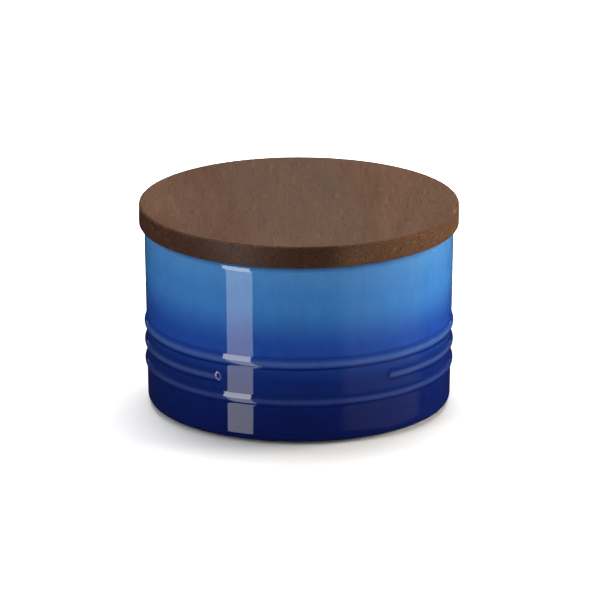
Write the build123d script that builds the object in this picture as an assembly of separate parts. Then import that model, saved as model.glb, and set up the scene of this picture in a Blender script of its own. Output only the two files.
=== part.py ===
from build123d import *
import math
import os

# A round stoneware storage jar with a turned wooden lid and a soft seal in the lid's groove.
# All sizes are millimetres. +Z is up. The origin is on the jar's axis, in the plane that it
# stands on. The front, where the middle rib is left open, faces -Y.

# Sizes of the pot
rim_diameter = 120.0
base_diameter = 117.4
jar_height = 71.8
wall_thickness = 5.0
floor_thickness = 5.5
base_corner_radius = 3.0
inside_corner_radius = 8.0
rim_land = 0.8
rim_inner_rounding = 1.4
mouth_margin = 3.5

# Sizes of the foot ring, which is the only part of the pot that touches the table
foot_inset = 5.7
foot_width = 4.5
foot_height = 1.0
foot_recess = 2.0
foot_bevel = 0.4

# Sizes of the three ribs round the wall
rib_count = 3
lowest_rib_height = 17.7
rib_pitch = 7.6
rib_width = 3.8
rib_rise = 0.8
rib_root_depth = 0.8
rib_root_rounding = 1.2
rib_gap_angle = 69.0
rib_gap_middle_angle = 2.0

# Sizes of the wooden lid
lid_overhang = 2.0
lid_thickness = 8.7
lid_top_rounding = 1.0
lid_under_rounding = 0.8
plug_clearance = 1.5
plug_bevel = 1.0
groove_drop = 3.2
groove_depth = 2.4
plug_lip = 3.2

# Sizes of the seal, a soft ring with thin fins that lean up as the lid goes in
seal_height = 5.0
seal_band = 1.6
seal_fit = 0.05
fin_count = 3
fin_root_thickness = 0.7
fin_tip_thickness = 0.4
fin_lean = 0.7
fin_edge_margin = 0.5
fin_clearance = 0.15

# Radii that follow from the diameters
rim_radius = rim_diameter / 2
base_radius = base_diameter / 2
foot_radius = base_radius - foot_inset
foot_inner_radius = foot_radius - foot_width
lid_radius = rim_radius + lid_overhang
mouth_radius = rim_radius - wall_thickness
plug_radius = mouth_radius - plug_clearance
groove_radius = plug_radius - groove_depth

# Heights that follow from the sizes
floor_top = foot_recess + floor_thickness
lid_top = jar_height + lid_thickness
groove_top = jar_height - groove_drop
groove_bottom = groove_top - seal_height - 2 * seal_fit
plug_bottom = groove_bottom - plug_lip
mouth_bottom = plug_bottom - mouth_margin

# The wall leans out from the table to the rim by this much for each millimetre of height
wall_lean = (rim_radius - base_radius) / jar_height


def wall_radius(height):
    """Outside radius of the plain wall at a height above the table."""
    return base_radius + wall_lean * height


def turned(corners):
    """Revolve a path that starts and ends on the axis. Each corner is (radius, height, rounding)."""
    points = [(radius, height) for radius, height, rounding in corners]
    roundings = [rounding for radius, height, rounding in corners[1:-1]]
    path = FilletPolyline(*points, radius=roundings)
    outline = path + Line(points[-1], points[0])
    return revolve(Plane.XZ * make_face(outline), Axis.Z)


def turned_ring(points):
    """Revolve a closed path of straight runs that stays clear of the axis."""
    return revolve(Plane.XZ * make_face(Polyline(*points, close=True)), Axis.Z)


def plain_pot():
    """The pot without its ribs: foot ring, rounded base, leaning wall, rolled rim and hollow."""
    rim_outer_rounding = wall_thickness - rim_land - rim_inner_rounding
    return turned(
        [
            (0, foot_recess, 0),
            (foot_inner_radius, foot_recess, 0),
            (foot_inner_radius, foot_bevel, 0),
            (foot_inner_radius + foot_bevel, 0, 0),
            (foot_radius - foot_bevel, 0, 0),
            (foot_radius, foot_bevel, 0),
            (foot_radius, foot_height, 0),
            (wall_radius(foot_height), foot_height, base_corner_radius),
            (rim_radius, jar_height, rim_outer_rounding),
            (mouth_radius, jar_height, rim_inner_rounding),
            (mouth_radius, mouth_bottom, 0),
            (wall_radius(floor_top) - wall_thickness, floor_top, inside_corner_radius),
            (0, floor_top, 0),
        ]
    )


def rib_plane(height, angle):
    """Plane across a rib at an angle round the jar: x points out of the wall and y up along it."""
    lean = math.atan(wall_lean)
    turn = math.radians(angle)
    reach = wall_radius(height)
    return Plane(
        origin=(reach * math.cos(turn), reach * math.sin(turn), height),
        x_dir=(math.cos(lean) * math.cos(turn), math.cos(lean) * math.sin(turn), -math.sin(lean)),
        z_dir=(math.sin(turn), -math.cos(turn), 0),
    )


def rib_section():
    """Cross-section of a rib: a round crown that flows through hollow roots into the wall.

    The edges dip below the wall by twice the wall's own bow over the rib's half width, so that
    a rounded rib end meets the curved wall all the way round.
    """
    half = rib_width / 2
    dip = 2 * half**2 / base_diameter
    crown_radius = (half**2 + rib_rise**2) / (2 * rib_rise)
    crown_centre = rib_rise - crown_radius
    root_centre = rib_root_rounding - dip
    edge = math.sqrt((crown_radius + rib_root_rounding) ** 2 - (root_centre - crown_centre) ** 2)
    share = crown_radius / (crown_radius + rib_root_rounding)
    touch = crown_centre + share * (root_centre - crown_centre)
    upper_root = TangentArc((-dip, edge), (touch, share * edge), tangent=(0, -1))
    crown = ThreePointArc((touch, share * edge), (rib_rise, 0), (touch, -share * edge))
    lower_root = TangentArc((-dip, -edge), (touch, -share * edge), tangent=(0, 1))
    depth = dip + rib_root_depth
    back = Polyline((-dip, edge), (-depth, edge), (-depth, -edge), (-dip, -edge))
    return make_face(upper_root + crown + lower_root + back)


def half_rib_section():
    """The upper half of a rib's cross-section, which turns on itself to make a rounded rib end."""
    return rib_section() & Pos(0, rib_width) * Rectangle(4 * rib_width, 2 * rib_width)


def whole_rib(height):
    """A rib that runs all the way round."""
    return revolve(rib_plane(height, 0) * rib_section(), Axis.Z)


def open_rib(height):
    """A rib that stops on each side of the front and ends there in a rounded nose."""
    front = -90 + rib_gap_middle_angle
    first_end = front + rib_gap_angle / 2
    run = 360 - rib_gap_angle
    bar = revolve(rib_plane(height, first_end) * rib_section(), Axis.Z, run)
    noses = []
    for angle, turn in ((first_end, 180), (first_end + run, -180)):
        plane = rib_plane(height, angle)
        across_wall = Axis(plane.origin, plane.x_dir)
        noses.append(revolve(plane * half_rib_section(), across_wall, turn))
    return [bar] + noses


def jar_body():
    """The glazed pot: leaning wall, ribs, rolled rim, foot ring and hollow."""
    pot = plain_pot()
    open_rib_number = rib_count // 2
    for number in range(rib_count):
        height = lowest_rib_height + number * rib_pitch
        if number == open_rib_number:
            for piece in open_rib(height):
                pot = pot + piece
        else:
            pot = pot + whole_rib(height)
    return pot


def wooden_lid():
    """The turned lid: a disc that rests on the rim and a plug below it, grooved for the seal."""
    return turned(
        [
            (0, plug_bottom, 0),
            (plug_radius - plug_bevel, plug_bottom, 0),
            (plug_radius, plug_bottom + plug_bevel, 0),
            (plug_radius, groove_bottom, 0),
            (groove_radius, groove_bottom, 0),
            (groove_radius, groove_top, 0),
            (plug_radius, groove_top, 0),
            (plug_radius, jar_height, 0),
            (lid_radius, jar_height, lid_under_rounding),
            (lid_radius, lid_top, lid_top_rounding),
            (0, lid_top, 0),
        ]
    )


def seal_ring():
    """The soft ring in the lid's groove, with a row of thin fins that reach for the mouth's wall."""
    inner = groove_radius + seal_fit
    outer = inner + seal_band
    fin_tip = mouth_radius - fin_clearance
    low = groove_bottom + seal_fit
    high = low + seal_height
    first_fin = low + fin_edge_margin + fin_root_thickness / 2
    last_fin = high - fin_edge_margin - fin_root_thickness / 2
    fin_pitch = (last_fin - first_fin) / (fin_count - 1)
    points = [(inner, low), (outer, low)]
    for number in range(fin_count):
        root = first_fin + number * fin_pitch
        tip = root + fin_lean
        points.append((outer, root - fin_root_thickness / 2))
        points.append((fin_tip, tip - fin_tip_thickness / 2))
        points.append((fin_tip, tip + fin_tip_thickness / 2))
        points.append((outer, root + fin_root_thickness / 2))
    points = points + [(outer, high), (inner, high)]
    return turned_ring(points)


os.makedirs("parts", exist_ok=True)
export_step(jar_body(), "parts/jar_body.step")
export_step(wooden_lid(), "parts/wooden_lid.step")
export_step(seal_ring(), "parts/seal_ring.step")
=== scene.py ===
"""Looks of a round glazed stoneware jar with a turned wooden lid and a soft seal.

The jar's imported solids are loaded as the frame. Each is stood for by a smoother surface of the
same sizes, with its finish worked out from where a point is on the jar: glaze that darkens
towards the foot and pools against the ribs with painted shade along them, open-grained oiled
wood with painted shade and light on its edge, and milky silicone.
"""

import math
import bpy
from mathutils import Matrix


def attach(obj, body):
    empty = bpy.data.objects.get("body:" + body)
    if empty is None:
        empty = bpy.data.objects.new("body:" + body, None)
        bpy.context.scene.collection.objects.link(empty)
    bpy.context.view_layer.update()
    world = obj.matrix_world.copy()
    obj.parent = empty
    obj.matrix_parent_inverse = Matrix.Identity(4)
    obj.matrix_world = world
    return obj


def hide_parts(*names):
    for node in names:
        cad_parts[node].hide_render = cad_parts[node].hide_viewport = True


bl_info = {
    "name": "Stoneware storage jar",
    "version": (1, 0, 0),
    "blender": (4, 5, 0),
    "location": "3D View > Sidebar > Storage Jar",
    "description": "A ribbed stoneware jar, its wooden lid and its seal, on a white studio floor",
    "category": "Add Mesh",
}

import bpy
import numpy as np
from mathutils import Vector

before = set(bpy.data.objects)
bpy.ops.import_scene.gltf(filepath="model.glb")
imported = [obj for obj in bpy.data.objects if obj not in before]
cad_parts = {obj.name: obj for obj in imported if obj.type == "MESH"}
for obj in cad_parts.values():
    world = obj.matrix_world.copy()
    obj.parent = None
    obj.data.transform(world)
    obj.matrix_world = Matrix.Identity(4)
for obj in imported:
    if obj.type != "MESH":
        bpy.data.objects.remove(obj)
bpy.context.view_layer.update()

ARC_STEP = math.radians(9)
CREASE = math.radians(32)
RIB_COUNT = 3
POT_COLUMNS = 288
RING_COLUMNS = 300
LEAST_COLUMN_GAP = 0.003
ON_WALL = 1e-6
FLOOR_HALF_WIDTH = 6.0
TABLE_HALF_WIDTH = 0.9
CARD_CLEARANCE = 0.0004
SENSOR_WIDTH = 36
AIM_RIGHT = 0.0004


def length(name, description, millimetres):
    """A size that a user can change, kept in metres."""
    return bpy.props.FloatProperty(
        name=name,
        description=description,
        default=millimetres / 1000,
        min=0,
        precision=5,
        subtype="DISTANCE",
        unit="LENGTH",
    )


def turn(name, description, degrees):
    """An angle that a user can change."""
    return bpy.props.FloatProperty(
        name=name,
        description=description,
        default=math.radians(degrees),
        subtype="ANGLE",
        unit="ROTATION",
    )


def colour(name, description, red, green, blue):
    """A colour that a user can change, in linear light."""
    return bpy.props.FloatVectorProperty(
        name=name,
        description=description,
        default=(red, green, blue),
        size=3,
        min=0,
        max=1,
        subtype="COLOR",
    )


def factor(name, description, value):
    """A share or a strength that a user can change."""
    return bpy.props.FloatProperty(
        name=name, description=description, default=value, min=0, subtype="FACTOR"
    )


class PotSizes(bpy.types.PropertyGroup):
    """Sizes of the stoneware pot."""

    rim_diameter: length("Rim diameter", "Width of the pot across its rim", 120.0)
    base_diameter: length("Base diameter", "Width that the wall would have at the table", 117.4)
    height: length("Height", "Height of the pot's rim above the table", 71.8)
    wall: length("Wall", "Thickness of the wall at the mouth", 5.0)
    floor: length("Floor", "Thickness of the pot's floor", 5.5)
    base_rounding: length("Base rounding", "Rounding of the bottom corner", 3.0)
    inside_rounding: length("Inside rounding", "Rounding between floor and wall, inside", 8.0)
    rim_land: length("Rim land", "Flat on top of the rim", 0.8)
    rim_inner_rounding: length("Inner rim rounding", "Rounding of the rim into the mouth", 1.4)
    mouth_bottom: length("Mouth bottom", "Height at which the straight mouth ends", 56.8)
    foot_inset: length("Foot inset", "How far the foot ring stands in from the wall", 5.7)
    foot_width: length("Foot width", "Width of the foot ring", 4.5)
    foot_height: length("Foot height", "Height of the foot ring", 1.0)
    foot_recess: length("Foot recess", "Depth of the hollow inside the foot ring", 2.0)
    foot_bevel: length("Foot bevel", "Bevel along the foot ring's edges", 0.4)
    rib_height: length("Rib height", "Height of the lowest rib's middle", 17.7)
    rib_pitch: length("Rib pitch", "Distance from one rib to the next", 7.6)
    rib_width: length("Rib width", "Width of a rib's crown", 3.8)
    rib_rise: length("Rib rise", "How far a rib stands out of the wall", 0.8)
    rib_root: length("Rib root", "Radius of the hollow along each side of a rib", 1.2)
    gap: turn("Gap", "Angle over which the middle rib is left open", 69.0)
    gap_middle: turn("Gap middle", "Where the middle of that gap is, from +X", -88.0)


class LidSizes(bpy.types.PropertyGroup):
    """Sizes of the wooden lid."""

    overhang: length("Overhang", "How far the lid reaches past the rim", 2.0)
    thickness: length("Thickness", "Thickness of the board", 8.7)
    top_rounding: length("Top rounding", "Rounding of the top edge", 1.0)
    under_rounding: length("Under rounding", "Rounding of the bottom edge", 0.8)
    plug_clearance: length("Plug clearance", "Gap between the plug and the mouth", 1.5)
    plug_bottom: length("Plug bottom", "Height of the plug's underside", 60.3)
    plug_bevel: length("Plug bevel", "Bevel round the plug's underside", 1.0)
    groove_top: length("Groove top", "Height of the seal groove's upper side", 68.6)
    groove_bottom: length("Groove bottom", "Height of the seal groove's lower side", 63.5)
    groove_depth: length("Groove depth", "Depth of the seal groove", 2.4)


class SealSizes(bpy.types.PropertyGroup):
    """Sizes of the soft seal."""

    fit: length("Fit", "Running clearance in the groove", 0.05)
    height: length("Height", "Height of the band", 5.0)
    band: length("Band", "Thickness of the band", 1.6)
    clearance: length("Fin clearance", "Gap between the fins and the mouth", 0.15)
    root: length("Fin root", "Thickness of a fin where it leaves the band", 0.7)
    tip: length("Fin tip", "Thickness of a fin at its tip", 0.4)
    lean: length("Fin lean", "How far a fin's tip stands above its root", 0.7)
    margin: length("Fin margin", "Plain band above and below the fins", 0.5)
    fins: bpy.props.IntProperty(name="Fins", description="Number of fins", default=3, min=2)


class Finishes(bpy.types.PropertyGroup):
    """Colours and finishes of the jar's materials."""

    glaze_top: colour("Glaze, top", "Glaze under the rim", 0.055, 0.190, 0.44)
    glaze_upper: colour("Glaze, upper wall", "Glaze on the upper wall", 0.038, 0.158, 0.415)
    glaze_middle: colour("Glaze, middle", "Glaze above the ribs", 0.0125, 0.052, 0.27)
    glaze_lower: colour("Glaze, ribs", "Glaze between the ribs", 0.005, 0.017, 0.12)
    glaze_foot: colour("Glaze, foot", "Glaze below the ribs", 0.0038, 0.0095, 0.080)
    # The pooled glaze colour is also painted shade in the hollows beside the ribs.
    pooled_glaze_and_shade: colour("Pooled glaze", "Glaze where it lies thick", 0.002, 0.009, 0.085)
    crest_high: colour("Crest, top rib", "Thin glaze along the top rib", 0.068, 0.118, 0.265)
    crest_low: colour("Crest, lowest rib", "Thin glaze along the lowest rib", 0.036, 0.060, 0.209)
    crest_share: factor("Crest share", "How far the thin glaze shows", 0.50)
    glaze_roughness: factor("Glaze roughness", "How far the glaze blurs a reflection", 0.04)
    clay: colour("Clay", "Bare fired clay on the foot ring", 0.50, 0.40, 0.30)
    wood_light: colour("Wood, light", "Lighter wood", 0.124, 0.068, 0.043)
    wood_dark: colour("Wood, dark", "Darker wood", 0.086, 0.046, 0.030)
    wood_grey: colour("Wood, grey", "Grey-brown band along the board", 0.093, 0.059, 0.042)
    wood_pore: colour("Wood, pores", "Open pores", 0.030, 0.016, 0.010)
    # Painted shade on the left of the lid's edge and painted light on its right, along with the
    # end grain's own darkening.
    shaded_side_tint: colour("End grain, dark", "Tint of the cut grain on the left", 0.42, 0.29, 0.22)
    lit_side_tint: colour("End grain, light", "Tint of the cut grain on the right", 0.84, 0.72, 0.56)
    wood_roughness: factor("Wood roughness", "Roughness of the oiled wood", 0.42)
    grain_turn: turn("Grain direction", "Turn of the grain from front to back", 1.5)
    silicone: colour("Silicone", "Milky silicone of the seal", 0.72, 0.71, 0.67)


class StudioSettings(bpy.types.PropertyGroup):
    """Floor, light and camera."""

    floor_white: factor("Floor", "Paleness of the floor as light sees it", 0.68)
    # Painted shade on the floor beside the jar.
    floor_near_shaded: factor("Floor, near", "Paleness of the floor seen beside the jar", 0.94)
    floor_far: factor("Floor, far", "Paleness of the floor seen away from the jar", 1.60)
    fill: factor("Fill", "Even light from all round", 0.34)
    top_light: factor("Top light", "Brightness of the soft light above", 4.4)
    strip_light: factor("Strip light", "Brightness of the tall strip on the left", 2.8)
    strip_seen: factor("Strip, mirrored", "Brightness of the strip in the glaze", 7.5)
    side_light: factor("Side light", "Brightness of the soft light on the right", 20.0)
    tent: factor("Dark room", "Brightness of what the glaze mirrors around it", 0.05)
    card: factor("Dark table", "Brightness of what the glaze mirrors below it", 0.012)
    side_card: factor("Side card", "Brightness of the side light's own reflection", 0.20)
    distance: length("Camera distance", "From the camera to the jar", 2700.0)
    elevation: turn("Camera elevation", "How far the camera looks down", 17.24)
    aim_height: length("Aim height", "Height that the camera aims at", 40.3)
    lens: bpy.props.FloatProperty(
        name="Lens", description="Focal length", default=0.417, subtype="DISTANCE_CAMERA"
    )


def rounded_path(corners, closed=False):
    """Points along straight runs joined by tangent arcs, as an array of (radius, height).

    Each corner is (radius, height, rounding, spacing). Where the unit directions u and v to the
    corner's neighbours stand at an angle 2a, the arc starts rounding / tan(a) from the corner
    along u, and its centre is rounding / sin(a) from the corner along u + v. A point on it is
    centre + rounding (cos t, sin t). The run that follows a corner is cut into equal steps, none
    longer than the corner's spacing.
    """
    places = np.array([corner[:2] for corner in corners], float)
    count = len(places)
    arcs = []
    for index, (_, _, rounding, _) in enumerate(corners):
        place = places[index]
        at_end = not closed and index in (0, count - 1)
        if at_end or rounding == 0:
            arcs.append(place[None])
            continue
        back = places[index - 1] - place
        ahead = places[(index + 1) % count] - place
        back = back / np.linalg.norm(back)
        ahead = ahead / np.linalg.norm(ahead)
        half = math.acos(float(back @ ahead)) / 2
        middle = (back + ahead) / np.linalg.norm(back + ahead)
        centre = place + middle * rounding / math.sin(half)
        first = place + back * rounding / math.tan(half) - centre
        last = place + ahead * rounding / math.tan(half) - centre
        start = math.atan2(first[1], first[0])
        cross = first[0] * last[1] - first[1] * last[0]
        sweep = math.atan2(cross, float(first @ last))
        steps = max(2, math.ceil(abs(sweep) / ARC_STEP))
        turns = start + sweep * np.linspace(0, 1, steps + 1)
        arcs.append(centre + rounding * np.stack([np.cos(turns), np.sin(turns)], 1))
    points = []
    for index in range(count):
        points.append(arcs[index])
        if index == count - 1 and not closed:
            break
        start = arcs[index][-1]
        end = arcs[(index + 1) % count][0]
        steps = max(1, math.ceil(np.linalg.norm(end - start) / corners[index][3]))
        shares = np.linspace(0, 1, steps + 1)[1:-1, None]
        points.append(start + (end - start) * shares)
    return np.concatenate(points)


def turned_mesh(name, radii, heights, angles, closed=False):
    """A surface turned about Z from a grid of radii and heights, with one row for each path point.

    A point is (radius cos angle, radius sin angle, height). The columns meet round the axis. An
    open path starts and ends on the axis, where its row is one point, and a closed path's last
    row meets its first. The path runs outwards below and upwards outside, so faces point out.
    """
    rows, columns = radii.shape
    points = np.stack([radii * np.cos(angles), radii * np.sin(angles), heights], 2)
    grid = np.arange(rows * columns).reshape(rows, columns)
    if not closed:
        inner = points[1:-1].reshape(-1, 3)
        points = np.concatenate([points[0, :1], inner, points[-1, :1]])
        grid = 1 + np.arange((rows - 2) * columns).reshape(rows - 2, columns)
    else:
        points = points.reshape(-1, 3)
        grid = np.concatenate([grid, grid[:1]])
    low, high = grid[:-1], grid[1:]
    quads = np.stack([low, np.roll(low, -1, 1), np.roll(high, -1, 1), high], 2).reshape(-1, 4)
    faces = quads.tolist()
    if not closed:
        first, last = grid[0], grid[-1]
        below = np.stack([np.zeros_like(first), np.roll(first, -1), first], 1)
        above = np.stack([last, np.roll(last, -1), np.full_like(last, len(points) - 1)], 1)
        faces += below.tolist() + above.tolist()
    mesh = bpy.data.meshes.new(name)
    mesh.from_pydata(points.tolist(), [], faces)
    mesh.shade_smooth()
    mesh.set_sharp_from_angle(angle=CREASE)
    return mesh


def turned_grid(path, columns):
    """Radii, heights and angles of a path that is turned about Z without any change."""
    angles = even_angles(columns)
    radii = np.repeat(path[:, :1], columns, 1)
    heights = np.repeat(path[:, 1:], columns, 1)
    return radii, heights, angles


def keep_on_points(mesh, name, values):
    """Keeps a grid of values on an open turned mesh, with nought at both of its ends."""
    flat = np.concatenate([[0.0], values[1:-1].ravel(), [0.0]])
    layer = mesh.attributes.new(name, "FLOAT", "POINT")
    layer.data.foreach_set("value", flat.astype(np.float32))


def placed(name, mesh, body, node, slot, *materials):
    """Puts a finished mesh into the scene, riding on its body and standing for its solid."""
    for material in materials:
        mesh.materials.append(material)
    piece = bpy.data.objects.new(name, mesh)
    bpy.context.scene.collection.objects.link(piece)
    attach(piece, body)
    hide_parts(node)
    return piece


def even_angles(count):
    """Angles of that many columns, evenly spaced all the way round."""
    return np.arange(count) * 2 * math.pi / count


def node(tree, kind, inputs=None, **settings):
    """Adds a node, sets its options, and fills its inputs from values or from other sockets."""
    made = tree.nodes.new(kind)
    for key, value in settings.items():
        setattr(made, key, value)
    for key, value in (inputs or {}).items():
        if isinstance(value, bpy.types.NodeSocket):
            tree.links.new(value, made.inputs[key])
        else:
            made.inputs[key].default_value = value
    return made


def worked_out(tree, operation, *values):
    """The result of one step of arithmetic on values or sockets."""
    return node(tree, "ShaderNodeMath", dict(enumerate(values)), operation=operation).outputs[0]


def seen_directly(tree):
    """One where the camera, a reflection or a transparent surface looks, and nought for light."""
    rays = node(tree, "ShaderNodeLightPath").outputs
    seen = worked_out(tree, "MAXIMUM", rays["Is Camera Ray"], rays["Is Glossy Ray"])
    return worked_out(tree, "MAXIMUM", seen, rays["Is Transmission Ray"])


def mixed(tree, share, first, second, blend="MIX"):
    """A colour between two colours."""
    made = node(tree, "ShaderNodeMix", data_type="RGBA", blend_type=blend)
    for index, value in ((0, share), (6, first), (7, second)):
        if isinstance(value, bpy.types.NodeSocket):
            tree.links.new(value, made.inputs[index])
        elif index == 0:
            made.inputs[index].default_value = value
        else:
            made.inputs[index].default_value = (*value, 1)
    return made.outputs[2]


def ranged(tree, value, low, high, to_low=0.0, to_high=1.0):
    """A value taken from one range to another, and held at its ends."""
    made = node(
        tree,
        "ShaderNodeMapRange",
        {"Value": value, "From Min": low, "From Max": high, "To Min": to_low, "To Max": to_high},
        interpolation_type="SMOOTHSTEP",
    )
    return made.outputs["Result"]


def noise(tree, place, stretch, detail=2.0, roughness=0.5, distortion=0.0):
    """Noise with its own scale along each axis, in waves to the metre."""
    scaled = node(
        tree, "ShaderNodeVectorMath", {0: place, 1: stretch}, operation="MULTIPLY"
    ).outputs[0]
    made = node(
        tree,
        "ShaderNodeTexNoise",
        {
            "Vector": scaled,
            "Scale": 1.0,
            "Detail": detail,
            "Roughness": roughness,
            "Distortion": distortion,
        },
    )
    return made.outputs["Fac"]


def bumped(tree, height, distance, strength=1.0, under=None):
    """A surface raised by a height from 0 to 1 times a distance in metres."""
    inputs = {"Height": height, "Distance": distance, "Strength": strength}
    if under is not None:
        inputs["Normal"] = under
    return node(tree, "ShaderNodeBump", inputs).outputs["Normal"]


def new_material(name):
    """A material with its node tree, its main shader and the object's own coordinates."""
    material = bpy.data.materials.new(name)
    material.use_nodes = True
    tree = material.node_tree
    place = node(tree, "ShaderNodeTexCoord").outputs["Object"]
    return material, tree, tree.nodes["Principled BSDF"], place


def glaze_material(pot, finish):
    """Gloss glaze whose blue deepens towards the foot, pooled with painted shade beside the ribs
    and thin on them.
    """
    material, tree, shader, place = new_material("blue_glaze")
    height = node(tree, "ShaderNodeSeparateXYZ", {0: place}).outputs["Z"]
    drift = noise(tree, place, (14, 14, 6), detail=1.0)
    uneven = worked_out(tree, "MULTIPLY_ADD", drift, 0.006, -0.003)
    level = worked_out(tree, "ADD", height, uneven)
    share = worked_out(tree, "DIVIDE", level, pot.height)
    ramp = node(tree, "ShaderNodeValToRGB", {"Fac": share})
    ramp.color_ramp.interpolation = "EASE"
    stops = [
        (0.14, finish.glaze_foot),
        (0.34, finish.glaze_lower),
        (0.53, finish.glaze_middle),
        (0.80, finish.glaze_upper),
        (0.97, finish.glaze_top),
    ]
    while len(ramp.color_ramp.elements) < len(stops):
        ramp.color_ramp.elements.new(0.5)
    for element, (position, stop) in zip(ramp.color_ramp.elements, stops):
        element.position = position
        element.color = (*stop, 1)
    # The depth attribute is above nought where glaze pools and painted shade lies in the rib
    # hollows, and below nought where the glaze thins on the crowns.
    depth = node(tree, "ShaderNodeAttribute", attribute_name="glaze_depth_and_shade").outputs["Fac"]
    thick = ranged(tree, depth, 0.0, 1.0)
    thin = ranged(tree, depth, 0.0, -1.0)
    body = mixed(tree, thick, ramp.outputs["Color"], tuple(finish.pooled_glaze_and_shade))
    top_rib = pot.rib_height + (RIB_COUNT - 1) * pot.rib_pitch
    rib_share = ranged(tree, height, pot.rib_height, top_rib)
    crest = mixed(tree, rib_share, tuple(finish.crest_low), tuple(finish.crest_high))
    shown = worked_out(tree, "MULTIPLY", thin, finish.crest_share)
    body = mixed(tree, shown, body, crest)
    mottle = ranged(tree, noise(tree, place, (260, 260, 160), detail=3.0), 0.3, 0.7, 0.96, 1.04)
    body = mixed(tree, 1.0, body, mottle, "MULTIPLY")
    tree.links.new(body, shader.inputs["Base Color"])
    shader.inputs["Roughness"].default_value = finish.glaze_roughness
    shader.inputs["IOR"].default_value = 1.5
    ripple = noise(tree, place, (75, 75, 55), detail=1.0)
    tree.links.new(bumped(tree, ripple, 0.00006), shader.inputs["Normal"])
    return material


def clay_material(finish):
    """Bare fired clay: matt, pale and speckled."""
    material, tree, shader, place = new_material("bare_clay")
    grit = noise(tree, place, (1500, 1500, 1500), detail=3.0)
    light = tuple(finish.clay)
    dark = tuple(0.55 * part for part in light)
    speckled = mixed(tree, ranged(tree, grit, 0.35, 0.6), dark, light)
    tree.links.new(speckled, shader.inputs["Base Color"])
    shader.inputs["Roughness"].default_value = 0.9
    tree.links.new(bumped(tree, grit, 0.00005), shader.inputs["Normal"])
    return material


def wood_material(finish):
    """Oiled open-grained wood whose grain runs from front to back through the whole board.

    The board's own coordinates are turned so that the first runs across the grain and the second
    along it. Noise that is stretched along the second makes lines on top, streaks on the sides
    and dots where the edge cuts across the grain. The cut edge is darker, partly as end grain that
    soaks up oil and partly as painted shade, deepest on the left, with painted light on the right.
    """
    material, tree, shader, place = new_material("oiled_wood")
    turned_by = (0, 0, -finish.grain_turn)
    moved_by = (-0.040, 0, 0)
    along = node(
        tree, "ShaderNodeMapping", {"Vector": place, "Rotation": turned_by, "Location": moved_by}
    ).outputs[0]
    figure = noise(tree, along, (34, 7, 40), detail=2.0, distortion=0.8)
    bands = noise(tree, along, (19, 4, 22), detail=1.0, distortion=0.6)
    grain = noise(tree, along, (480, 34, 430), detail=4.0, roughness=0.6)
    fleck = noise(tree, along, (900, 130, 900), detail=2.0)
    pores = noise(tree, along, (1500, 170, 1500), detail=2.0)
    tone = worked_out(tree, "MULTIPLY_ADD", grain, 0.30, figure)
    share = ranged(tree, tone, 0.40, 0.92)
    body = mixed(tree, share, tuple(finish.wood_dark), tuple(finish.wood_light))
    grey = ranged(tree, bands, 0.46, 0.64, 0.0, 0.75)
    body = mixed(tree, grey, body, tuple(finish.wood_grey))
    cut = node(tree, "ShaderNodeAttribute", attribute_name="end_grain_and_shade").outputs["Fac"]
    palest = ranged(tree, cut, 0.0, 1.0, 1.22, 1.75)
    pale = ranged(tree, fleck, 0.56, 0.74, 1.0, palest)
    body = mixed(tree, 1.0, body, pale, "MULTIPLY")
    deepest = ranged(tree, cut, 0.0, 1.0, 0.38, 0.85)
    open_pores = ranged(tree, pores, 0.58, 0.70, 0.0, deepest)
    body = mixed(tree, open_pores, body, tuple(finish.wood_pore))
    # The cut edge is darkened, partly as oiled end grain and partly as painted shade that is
    # deepest on the left, with painted light on the right.
    across = node(tree, "ShaderNodeSeparateXYZ", {0: along}).outputs["X"]
    lit_side = ranged(tree, across, -0.032, -0.020)
    tint = mixed(tree, lit_side, tuple(finish.shaded_side_tint), tuple(finish.lit_side_tint))
    oiled_and_shaded = mixed(tree, cut, (1, 1, 1), tint)
    body = mixed(tree, 1.0, body, oiled_and_shaded, "MULTIPLY")
    tree.links.new(body, shader.inputs["Base Color"])
    rough = ranged(
        tree, grain, 0.3, 0.7, finish.wood_roughness - 0.05, finish.wood_roughness + 0.07
    )
    tree.links.new(rough, shader.inputs["Roughness"])
    shader.inputs["Specular IOR Level"].default_value = 0.12
    lines = bumped(tree, grain, 0.00004)
    normal = bumped(tree, open_pores, -0.00005, under=lines)
    tree.links.new(normal, shader.inputs["Normal"])
    return material


def silicone_material(finish):
    """Matt milky silicone with a faint bloom."""
    material, tree, shader, place = new_material("milky_silicone")
    bloom = noise(tree, place, (420, 420, 420), detail=2.0)
    light = tuple(finish.silicone)
    dull = tuple(0.88 * part for part in light)
    body = mixed(tree, ranged(tree, bloom, 0.35, 0.65), dull, light)
    tree.links.new(body, shader.inputs["Base Color"])
    shader.inputs["Roughness"].default_value = 0.5
    shader.inputs["Subsurface Weight"].default_value = 0.35
    shader.inputs["Subsurface Radius"].default_value = (1.0, 0.9, 0.75)
    shader.inputs["Subsurface Scale"].default_value = 0.0012
    tree.links.new(bumped(tree, bloom, 0.00001), shader.inputs["Normal"])
    return material


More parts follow.
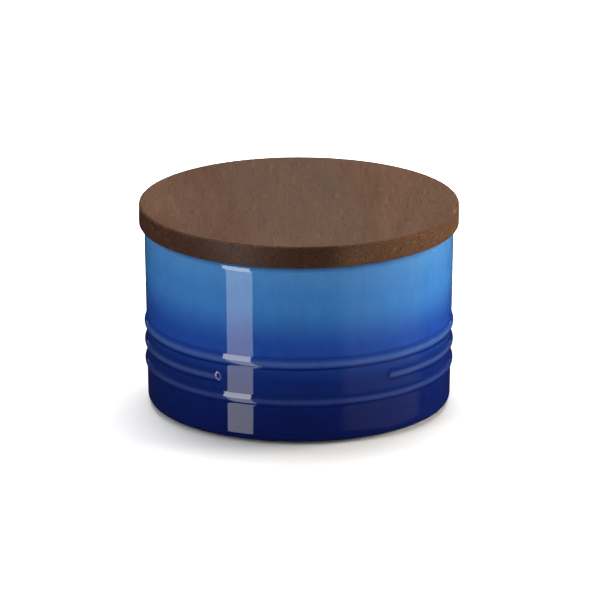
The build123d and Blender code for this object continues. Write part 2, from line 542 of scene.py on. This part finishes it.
def pot_path(pot):
    """The pot's outline from under its middle, up the wall, over the rim and down inside."""
    rim = pot.rim_diameter / 2
    base = pot.base_diameter / 2
    lean = (rim - base) / pot.height
    foot = base - pot.foot_inset
    inner_foot = foot - pot.foot_width
    mouth = rim - pot.wall
    floor = pot.foot_recess + pot.floor
    outer_rounding = pot.wall - pot.rim_land - pot.rim_inner_rounding
    bevel = pot.foot_bevel
    ribs_low = pot.rib_height - pot.rib_width
    ribs_high = pot.rib_height + (RIB_COUNT - 1) * pot.rib_pitch + pot.rib_width
    coarse = 0.006
    corners = [
        (0, pot.foot_recess, 0, coarse),
        (inner_foot, pot.foot_recess, 0, coarse),
        (inner_foot, bevel, 0, coarse),
        (inner_foot + bevel, 0, 0, coarse),
        (foot - bevel, 0, 0, coarse),
        (foot, bevel, 0, coarse),
        (foot, pot.foot_height, 0, coarse),
        (base + lean * pot.foot_height, pot.foot_height, pot.base_rounding, 0.002),
        (base + lean * ribs_low, ribs_low, 0, 0.00026),
        (base + lean * ribs_high, ribs_high, 0, 0.003),
        (rim, pot.height, outer_rounding, coarse),
        (mouth, pot.height, pot.rim_inner_rounding, coarse),
        (mouth, pot.mouth_bottom, 0, coarse),
        (base + lean * floor - pot.wall, floor, pot.inside_rounding, coarse),
        (0, floor, 0, coarse),
    ]
    return rounded_path(corners)


def rib_distances(pot, radii, heights, angles):
    """How far each wall point lies from each rib's middle line, and its signed height above it.

    Along the wall a point is (height - rib height) / cos(lean) above the rib. The middle rib
    stops at the gap, so past its end the arc back to the end counts too, and the distance is
    the root of the two squares added, which gives the rib its rounded nose.
    """
    lean = math.atan((pot.rim_diameter - pot.base_diameter) / 2 / pot.height)
    from_middle = np.abs(np.angle(np.exp(1j * (angles - pot.gap_middle))))
    past_end = np.maximum(0, pot.gap / 2 - from_middle)[None] * radii[:, None]
    found = []
    for number in range(RIB_COUNT):
        above = (heights - pot.rib_height - number * pot.rib_pitch) / math.cos(lean)
        above = np.repeat(above[:, None], len(angles), 1)
        beyond = past_end if number == RIB_COUNT // 2 else np.zeros_like(above)
        found.append((np.hypot(above, beyond), above, beyond))
    return found, lean


def rib_profile(pot, distance):
    """How far a rib stands out of the wall at a distance from its middle line.

    The crown is a circle of radius R = (w^2 + h^2) / 2h for half width w and rise h. The hollow
    root is a circle of radius q that touches the crown and the wall, so that it ends at
    e = sqrt((R + q)^2 - (q - h + R)^2), and the two circles touch at e R / (R + q).
    """
    half = pot.rib_width / 2
    rise = pot.rib_rise
    root = pot.rib_root
    crown = (half**2 + rise**2) / (2 * rise)
    edge = math.sqrt((crown + root) ** 2 - (root - rise + crown) ** 2)
    touch = edge * crown / (crown + root)
    on_crown = rise - crown + np.sqrt(np.maximum(0, crown**2 - distance**2))
    on_root = root - np.sqrt(np.maximum(0, root**2 - (edge - distance) ** 2))
    return np.where(distance < touch, on_crown, np.where(distance < edge, on_root, 0)), edge


def glaze_thickness_and_shade(distance, above, beyond, edge):
    """How thick the glaze lies beside one rib, with painted shade in its hollows, from pooled and
    shaded (above 0) to thin (below 0).

    Glaze pools and painted shade lies along both hollow roots, at 0.9 of the rib's half width, as
    0.5 exp(-((above - 0.9 edge) / 0.8 mm)^2) over the rib and
    0.9 exp(-((above + 0.9 edge) / 0.6 mm)^2) under it, where the painted shade is deeper. Both
    fade past the rib's end as exp(-(beyond / 2 mm)^2). Along the crown the glaze thins as
    exp(-(distance / 1.15 mm)^2).
    """
    near = np.exp(-((beyond / 0.002) ** 2))
    upper = 0.5 * np.exp(-(((above - 0.9 * edge) / 0.0008) ** 2)) * near
    lower = 0.9 * np.exp(-(((above + 0.9 * edge) / 0.0006) ** 2)) * near
    thin = np.exp(-((distance / 0.00115) ** 2))
    return upper + lower - thin


def pot_columns(pot):
    """Angles of the pot's columns, close together round the two ends of the open rib."""
    end = np.radians(np.arange(-2.9, 0.9, 0.2))
    first = pot.gap_middle + pot.gap / 2
    last = pot.gap_middle - pot.gap / 2
    near_ends = np.concatenate([first + end, last - end]) % (2 * math.pi)
    even = even_angles(POT_COLUMNS)
    apart = np.abs(np.angle(np.exp(1j * (even[:, None] - near_ends[None])))).min(1)
    return np.sort(np.concatenate([even[apart > LEAST_COLUMN_GAP], near_ends]))


class STOREJAR_OT_pot(bpy.types.Operator):
    """Make the glazed pot with its ribs, rim, hollow and foot ring"""

    bl_idname = "storejar.pot"
    bl_label = "Glazed pot"

    def execute(self, context):
        pot = context.scene.storejar_pot
        path = pot_path(pot)
        radii, heights = path[:, 0], path[:, 1]
        angles = pot_columns(pot)
        found, lean = rib_distances(pot, radii, heights, angles)
        wall_radius = pot.base_diameter / 2 + math.tan(lean) * heights
        on_wall = (np.abs(radii - wall_radius) < ON_WALL)[:, None]
        out = np.zeros((len(path), len(angles)))
        depth = np.zeros_like(out)
        for distance, above, beyond in found:
            rise, edge = rib_profile(pot, distance)
            out = np.maximum(out, np.where(on_wall, rise, 0))
            # Pooled glaze and painted shade in the rib hollows, less the thin glaze on the crowns.
            thickness = glaze_thickness_and_shade(distance, above, beyond, edge)
            depth = depth + np.where(on_wall, thickness, 0)
        grid_radii = radii[:, None] + out * math.cos(lean)
        grid_heights = heights[:, None] - out * math.sin(lean)
        mesh = turned_mesh("glazed_pot", grid_radii, grid_heights, angles)
        columns = len(angles)
        keep_on_points(mesh, "glaze_depth_and_shade", np.clip(depth, -1, 1))
        middles = (heights[1:-2] + heights[2:-1]) / 2
        reach = (radii[1:-2] + radii[2:-1]) / 2
        foot = pot.base_diameter / 2 - pot.foot_inset
        inner_foot = foot - pot.foot_width
        bare = (middles < pot.foot_recess) & (reach > inner_foot - 1e-5) & (reach < foot + 1e-5)
        slots = np.concatenate([np.repeat(bare, columns), np.zeros(2 * columns, bool)])
        mesh.polygons.foreach_set("material_index", slots.astype(np.int32))
        finish = context.scene.storejar_finish
        glaze = glaze_material(pot, finish)
        clay = clay_material(finish)
        placed("glazed_pot", mesh, "jar", "jar_body", "glazed_stoneware", glaze, clay)
        return {"FINISHED"}


def end_grain_and_shade(path, angles, grain_turn):
    """How squarely the turned surface cuts the wood's fibres, from 0 to 1, at each grid point,
    which also sets where painted shade lies on the edge.

    The fibres run along the board, turned by grain_turn from front to back. A wall of the turned
    shape counts as s (0.8 + 0.2 |sin(angle - grain_turn)|), where s is how upright the path is
    there: the height climbed between a point's two neighbours over the distance between them.
    The even share darkens every upright edge, partly as the oil that any sawn edge soaks up and
    partly as painted shade on the lid's sides.
    """
    run = np.zeros_like(path)
    run[1:-1] = path[2:] - path[:-2]
    upright = np.abs(run[:, 1]) / np.maximum(np.linalg.norm(run, axis=1), 1e-9)
    return upright[:, None] * (0.80 + 0.20 * np.abs(np.sin(angles - grain_turn)))[None]


class STOREJAR_OT_lid(bpy.types.Operator):
    """Make the turned wooden lid with its plug and the groove for the seal"""

    bl_idname = "storejar.lid"
    bl_label = "Wooden lid"

    def execute(self, context):
        pot = context.scene.storejar_pot
        lid = context.scene.storejar_lid
        radius = pot.rim_diameter / 2 + lid.overhang
        top = pot.height + lid.thickness
        plug = pot.rim_diameter / 2 - pot.wall - lid.plug_clearance
        groove = plug - lid.groove_depth
        coarse = 0.005
        corners = [
            (0, lid.plug_bottom, 0, coarse),
            (plug - lid.plug_bevel, lid.plug_bottom, 0, coarse),
            (plug, lid.plug_bottom + lid.plug_bevel, 0, coarse),
            (plug, lid.groove_bottom, 0, coarse),
            (groove, lid.groove_bottom, 0, coarse),
            (groove, lid.groove_top, 0, coarse),
            (plug, lid.groove_top, 0, coarse),
            (plug, pot.height, 0, coarse),
            (radius, pot.height, lid.under_rounding, coarse),
            (radius, top, lid.top_rounding, coarse),
            (0, top, 0, coarse),
        ]
        path = rounded_path(corners)
        radii, heights, angles = turned_grid(path, RING_COLUMNS)
        mesh = turned_mesh("turned_lid", radii, heights, angles)
        finish = context.scene.storejar_finish
        # Where the edge cuts the grain, which also sets where the painted shade lies on it.
        cut = end_grain_and_shade(path, angles, finish.grain_turn)
        keep_on_points(mesh, "end_grain_and_shade", cut)
        wood = wood_material(finish)
        placed("turned_lid", mesh, "lid", "wooden_lid", "oiled_wood", wood)
        return {"FINISHED"}


class STOREJAR_OT_seal(bpy.types.Operator):
    """Make the soft seal with its row of thin fins"""

    bl_idname = "storejar.seal"
    bl_label = "Soft seal"

    def execute(self, context):
        pot = context.scene.storejar_pot
        lid = context.scene.storejar_lid
        seal = context.scene.storejar_seal
        mouth = pot.rim_diameter / 2 - pot.wall
        inner = mouth - lid.plug_clearance - lid.groove_depth + seal.fit
        outer = inner + seal.band
        tip_radius = mouth - seal.clearance
        low = lid.groove_bottom + seal.fit
        high = low + seal.height
        first = low + seal.margin + seal.root / 2
        last = high - seal.margin - seal.root / 2
        soft, coarse = 0.00015, 0.002
        corners = [(inner, low, soft, coarse), (outer, low, soft, coarse)]
        for number in range(seal.fins):
            root = first + number * (last - first) / (seal.fins - 1)
            tip = root + seal.lean
            corners.append((outer, root - seal.root / 2, soft, coarse))
            corners.append((tip_radius, tip - seal.tip / 2, soft, coarse))
            corners.append((tip_radius, tip + seal.tip / 2, soft, coarse))
            corners.append((outer, root + seal.root / 2, soft, coarse))
        corners += [(outer, high, soft, coarse), (inner, high, soft, coarse)]
        path = rounded_path(corners, closed=True)
        radii, heights, angles = turned_grid(path, RING_COLUMNS)
        mesh = turned_mesh("finned_seal", radii, heights, angles, closed=True)
        silicone = silicone_material(context.scene.storejar_finish)
        placed("finned_seal", mesh, "seal", "seal_ring", "soft_seal", silicone)
        return {"FINISHED"}


def lamp(name, brightness, width, height, place, aim, tint=(1, 1, 1)):
    """A soft rectangular lamp of a given brightness, facing a point, that isn't mirrored."""
    data = bpy.data.lights.new(name, "AREA")
    data.shape = "RECTANGLE"
    data.size = width
    data.size_y = height
    data.energy = 4 * brightness * width * height
    data.color = tint
    made = bpy.data.objects.new(name, data)
    made.visible_glossy = False
    made.location = place
    made.rotation_euler = (Vector(aim) - Vector(place)).to_track_quat("-Z", "Y").to_euler()
    bpy.context.scene.collection.objects.link(made)


def round_place(distance, degrees, height):
    """A point at an angle round the jar, measured to the right from the camera's side."""
    turn_from_front = math.radians(degrees - 90)
    return (
        distance * math.cos(turn_from_front),
        distance * math.sin(turn_from_front),
        height,
    )


def stage_card(name, points, faces, brightness):
    """A flat card that is only seen mirrored in the jar, with an even brightness."""
    mesh = bpy.data.meshes.new(name)
    mesh.from_pydata(points, [], faces)
    material = bpy.data.materials.new(name)
    material.use_nodes = True
    tree = material.node_tree
    tree.nodes.remove(tree.nodes["Principled BSDF"])
    glow = node(tree, "ShaderNodeEmission", {"Strength": brightness})
    tree.links.new(glow.outputs[0], tree.nodes["Material Output"].inputs["Surface"])
    mesh.materials.append(material)
    card = bpy.data.objects.new(name, mesh)
    bpy.context.scene.collection.objects.link(card)
    for ray in ("camera", "diffuse", "transmission", "volume_scatter", "shadow"):
        setattr(card, "visible_" + ray, False)


def dark_room(name, radius, brightness):
    """A dome round the stage that is only seen mirrored in the jar.

    A point is radius (cos e cos a, cos e sin a, sin e) for a height angle e from 0 to a quarter
    turn and an angle a round the dome.
    """
    columns = 36
    rises = np.radians(np.arange(0, 90, 10))[:, None]
    turns = even_angles(columns)[None]
    flat = np.cos(rises) * np.cos(turns), np.cos(rises) * np.sin(turns)
    points = radius * np.stack([*flat, np.sin(rises) + 0 * turns], 2)
    grid = np.arange(points.shape[0] * columns).reshape(-1, columns)
    low, high = grid[:-1], grid[1:]
    quads = np.stack([low, high, np.roll(high, -1, 1), np.roll(low, -1, 1)], 2).reshape(-1, 4)
    top = np.stack([grid[-1], np.full(columns, grid.size), np.roll(grid[-1], -1)], 1)
    points = np.concatenate([points.reshape(-1, 3), [[0, 0, radius]]])
    stage_card(name, points.tolist(), quads.tolist() + top.tolist(), brightness)


def mirrored_wedge(name, radius, near, far, start, reach, height, brightness):
    """A card on the floor that the wall mirrors as an upright band.

    The band lies between two points of the wall, at the angles near and far from the camera's
    side. The camera looks along the floor towards +Y, so a wall point at an angle mirrors what
    lies in the direction of twice that angle. Each of the card's long edges is such a line, from
    start to reach away from the wall.
    """
    points = []
    for angle in (near, far):
        foot = Vector(round_place(radius, angle, height))
        points.append(foot + Vector(round_place(start, 2 * angle, 0)))
        points.append(foot + Vector(round_place(reach, 2 * angle, 0)))
    order = (0, 1, 3, 2)
    stage_card(name, [tuple(points[index]) for index in order], [(0, 1, 2, 3)], brightness)


def mirrored_strip(name, near, far, elevation, distance, brightness):
    """A standing card that a rib's upper flank mirrors between two angles round the jar.

    A flank turned by an angle a from the camera's side and tilted up by b has the normal
    n = (cos b sin a, -cos b cos a, sin b), and the camera lies in the direction
    v = (0, -cos e, sin e) for its elevation e. The flank mirrors the direction
    2 (n . v) n - v, which is drawn out to the given distance from the jar's axis.
    """
    tilts = np.radians(np.linspace(elevation / 2, 40, 13))[:, None]
    turns = np.radians(np.linspace(near, far, 7))[None]
    normal = np.stack(
        [np.cos(tilts) * np.sin(turns), -np.cos(tilts) * np.cos(turns), np.sin(tilts + 0 * turns)],
        2,
    )
    rise = math.radians(elevation)
    view = np.array([0, -math.cos(rise), math.sin(rise)])
    seen = 2 * (normal @ view)[:, :, None] * normal - view
    points = distance * seen / np.linalg.norm(seen[:, :, :2], axis=2)[:, :, None]
    points[:, :, 2] = np.maximum(points[:, :, 2], 0) + CARD_CLEARANCE
    rows, columns = tilts.size, turns.size
    grid = np.arange(rows * columns).reshape(rows, columns)
    quads = np.stack([grid[:-1, :-1], grid[:-1, 1:], grid[1:, 1:], grid[1:, :-1]], 2)
    quads = quads.reshape(-1, 4).tolist()
    stage_card(name, points.reshape(-1, 3).tolist(), quads, brightness)


def flat_square(half, height):
    """Corners of a level square round the Z axis."""
    return [(x * half, y * half, height) for x, y in ((-1, -1), (1, -1), (1, 1), (-1, 1))]


def white_floor(studio):
    """A pale floor with painted shade on it close to the jar, that turns white further out and
    keeps the jar's soft shadow.
    """
    mesh = bpy.data.meshes.new("studio_floor")
    mesh.from_pydata(flat_square(FLOOR_HALF_WIDTH, 0), [], [(0, 1, 2, 3)])
    material, tree, shader, place = new_material("studio_floor")
    seen = seen_directly(tree)
    reach = node(tree, "ShaderNodeVectorMath", {0: place}, operation="LENGTH").outputs["Value"]
    # Painted shade: the floor is shown less pale close to the jar than further out.
    shown = ranged(tree, reach, 0.06, 0.24, studio.floor_near_shaded, studio.floor_far)
    paint = node(
        tree, "ShaderNodeMix", {"Factor": seen, "A": studio.floor_white, "B": shown}
    ).outputs["Result"]
    plain = node(tree, "ShaderNodeBsdfDiffuse", {"Color": paint})
    tree.nodes.remove(shader)
    tree.links.new(plain.outputs[0], tree.nodes["Material Output"].inputs["Surface"])
    mesh.materials.append(material)
    floor = bpy.data.objects.new("studio_floor", mesh)
    bpy.context.scene.collection.objects.link(floor)


def white_world(studio):
    """A world that is white where it is seen or mirrored, and a gentle fill elsewhere."""
    world = bpy.data.worlds.new("studio_world")
    world.use_nodes = True
    bpy.context.scene.world = world
    tree = world.node_tree
    seen = seen_directly(tree)
    strength = node(
        tree,
        "ShaderNodeMapRange",
        {"Value": seen, "To Min": studio.fill, "To Max": 1.0},
    ).outputs["Result"]
    background = tree.nodes["Background"]
    background.inputs["Color"].default_value = (1, 1, 1, 1)
    tree.links.new(strength, background.inputs["Strength"])


def fitted_camera(studio):
    """The camera, in front of the jar and above it, looking at a point close to its axis."""
    camera = bpy.data.cameras.new("camera")
    camera.lens = studio.lens * 1000
    camera.sensor_width = SENSOR_WIDTH
    held = bpy.data.objects.new("camera", camera)
    bpy.context.scene.collection.objects.link(held)
    down = studio.elevation
    away = Vector((0, -math.cos(down), math.sin(down))) * studio.distance
    aim = Vector((AIM_RIGHT, 0, studio.aim_height))
    held.location = aim + away
    held.rotation_euler = (-away).to_track_quat("-Z", "Y").to_euler()
    return held


class STOREJAR_OT_studio(bpy.types.Operator):
    """Set up the white floor, the soft light and the camera"""

    bl_idname = "storejar.studio"
    bl_label = "Studio"

    def execute(self, context):
        scene = context.scene
        studio = scene.storejar_studio
        pot = scene.storejar_pot
        scene.view_settings.view_transform = "Standard"
        white_floor(studio)
        white_world(studio)
        above = (0.02, 0.42, 1.15)
        lamp("top_light", studio.top_light, 1.1, 1.0, above, aim=(0, 0, 0.04))
        strip_distance = 0.62
        left = round_place(strip_distance, -45.2, 0.40)
        lamp("strip_light", studio.strip_light, 0.247, 0.80, left, aim=(0, 0, 0.40))
        right = round_place(1.0, 98, 0.19)
        warm = (1.0, 0.92, 0.81)
        lamp("side_light", studio.side_light, 0.6, 0.34, right, aim=(0, 0, 0.06), tint=warm)
        dark_room("dark_room", 2.2, studio.tent)
        table = flat_square(TABLE_HALF_WIDTH, CARD_CLEARANCE / 2)
        stage_card("dark_table", table, [(0, 1, 2, 3)], studio.card)
        wall = pot.base_diameter / 2
        low = CARD_CLEARANCE
        near, far = -17.4, -27.8
        start, brighter, end = 0.008, 0.26, 0.58
        mirrored_wedge("strip_near", wall, near, far, start, brighter, low, studio.strip_light)
        mirrored_wedge("strip_far", wall, near, far, brighter, end, low, studio.strip_seen)
        down = math.degrees(studio.elevation)
        mirrored_strip("strip_seen", near, far, down, strip_distance, studio.strip_seen)
        steps, near, far = 4, 15.5, 53.0
        start, end, lift = 0.014, 0.6, 0.0001
        for step in range(steps):
            name = f"side_mirror_{step + 1}"
            share = (step + 1) / steps
            edges = near + step, far - step
            raised = low + lift * step
            mirrored_wedge(name, wall, *edges, start, end, raised, share * studio.side_card)
        scene.camera = fitted_camera(studio)
        return {"FINISHED"}


class STOREJAR_PT_sidebar(bpy.types.Panel):
    """Lists the jar's pieces and their sizes and finishes"""

    bl_idname = "STOREJAR_PT_sidebar"
    bl_label = "Storage Jar"
    bl_space_type = "VIEW_3D"
    bl_region_type = "UI"
    bl_category = "Storage Jar"

    def draw(self, context):
        layout = self.layout
        for operator, group in PANEL_ROWS:
            box = layout.box()
            if operator:
                box.operator(operator)
            settings = getattr(context.scene, group)
            for name in settings.__annotations__:
                box.prop(settings, name)


GROUPS = {
    "storejar_pot": PotSizes,
    "storejar_lid": LidSizes,
    "storejar_seal": SealSizes,
    "storejar_finish": Finishes,
    "storejar_studio": StudioSettings,
}
OPERATORS = (STOREJAR_OT_pot, STOREJAR_OT_lid, STOREJAR_OT_seal, STOREJAR_OT_studio)
PANEL_ROWS = (
    ("storejar.pot", "storejar_pot"),
    ("storejar.lid", "storejar_lid"),
    ("storejar.seal", "storejar_seal"),
    ("", "storejar_finish"),
    ("storejar.studio", "storejar_studio"),
)


def register():
    """Adds the settings, the operators and the panel."""
    for cls in (*GROUPS.values(), *OPERATORS, STOREJAR_PT_sidebar):
        bpy.utils.register_class(cls)
    for name, group in GROUPS.items():
        setattr(bpy.types.Scene, name, bpy.props.PointerProperty(type=group))


def unregister():
    """Takes the settings, the operators and the panel away again."""
    for name in GROUPS:
        delattr(bpy.types.Scene, name)
    for cls in (STOREJAR_PT_sidebar, *OPERATORS, *GROUPS.values()):
        bpy.utils.unregister_class(cls)


def main():
    """Builds the jar and its studio."""
    register()
    bpy.ops.storejar.pot()
    bpy.ops.storejar.lid()
    bpy.ops.storejar.seal()
    bpy.ops.storejar.studio()


if __name__ == "__main__":
    main()
